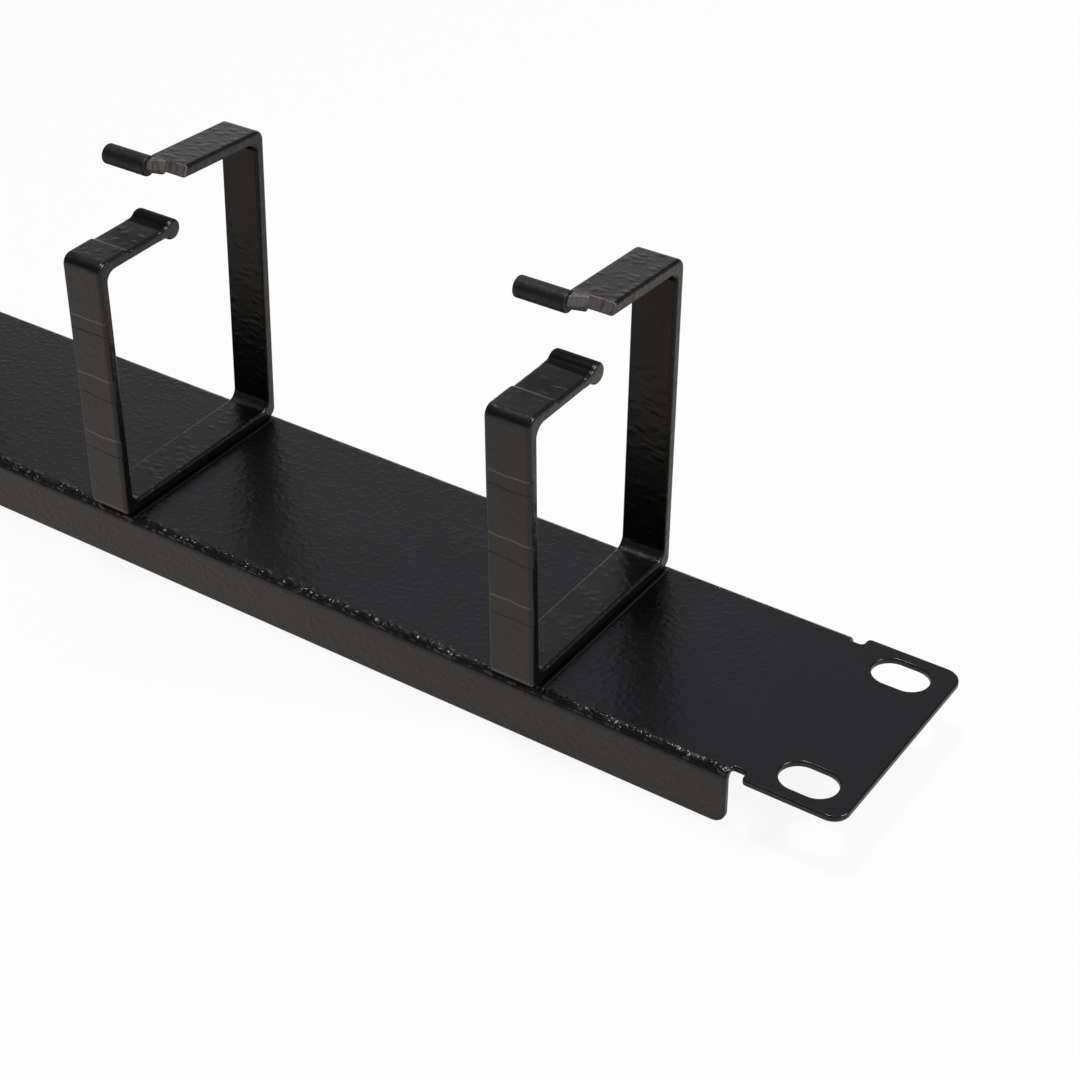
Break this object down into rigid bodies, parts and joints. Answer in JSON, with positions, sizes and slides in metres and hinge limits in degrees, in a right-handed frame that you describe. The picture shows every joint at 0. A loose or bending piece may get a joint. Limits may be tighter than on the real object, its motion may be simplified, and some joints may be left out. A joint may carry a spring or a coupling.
{
  "type": "rack cable management panel",
  "caption": "Slim black steel rack panel with slotted ears, folded long edges and a row of open square strip hooks with welded pins that hold cable bundles.",
  "frame": {"origin": "centre of the pattern of rack slots, on the back of the ears", "axes": "+X along the panel's length, +Y across it from the front arms' side to the rear legs' side, +Z out of its face, towards the hooks' arms"},
  "size_m": [0.4826, 0.0462, 0.0742],
  "materials": {
    "powder_coated_steel": "black powder coat, satin, with a fine orange-peel texture"
  },
  "bodies": {
    "root": {"panel": "powder_coated_steel", "hook_1": "powder_coated_steel", "hook_2": "powder_coated_steel", "hook_3": "powder_coated_steel", "hook_4": "powder_coated_steel", "hook_5": "powder_coated_steel", "front_pin_1": "powder_coated_steel", "front_pin_2": "powder_coated_steel", "front_pin_3": "powder_coated_steel", "front_pin_4": "powder_coated_steel", "front_pin_5": "powder_coated_steel", "rear_pin_1": "powder_coated_steel", "rear_pin_2": "powder_coated_steel", "rear_pin_3": "powder_coated_steel", "rear_pin_4": "powder_coated_steel", "rear_pin_5": "powder_coated_steel"}
  },
  "joints": []
}
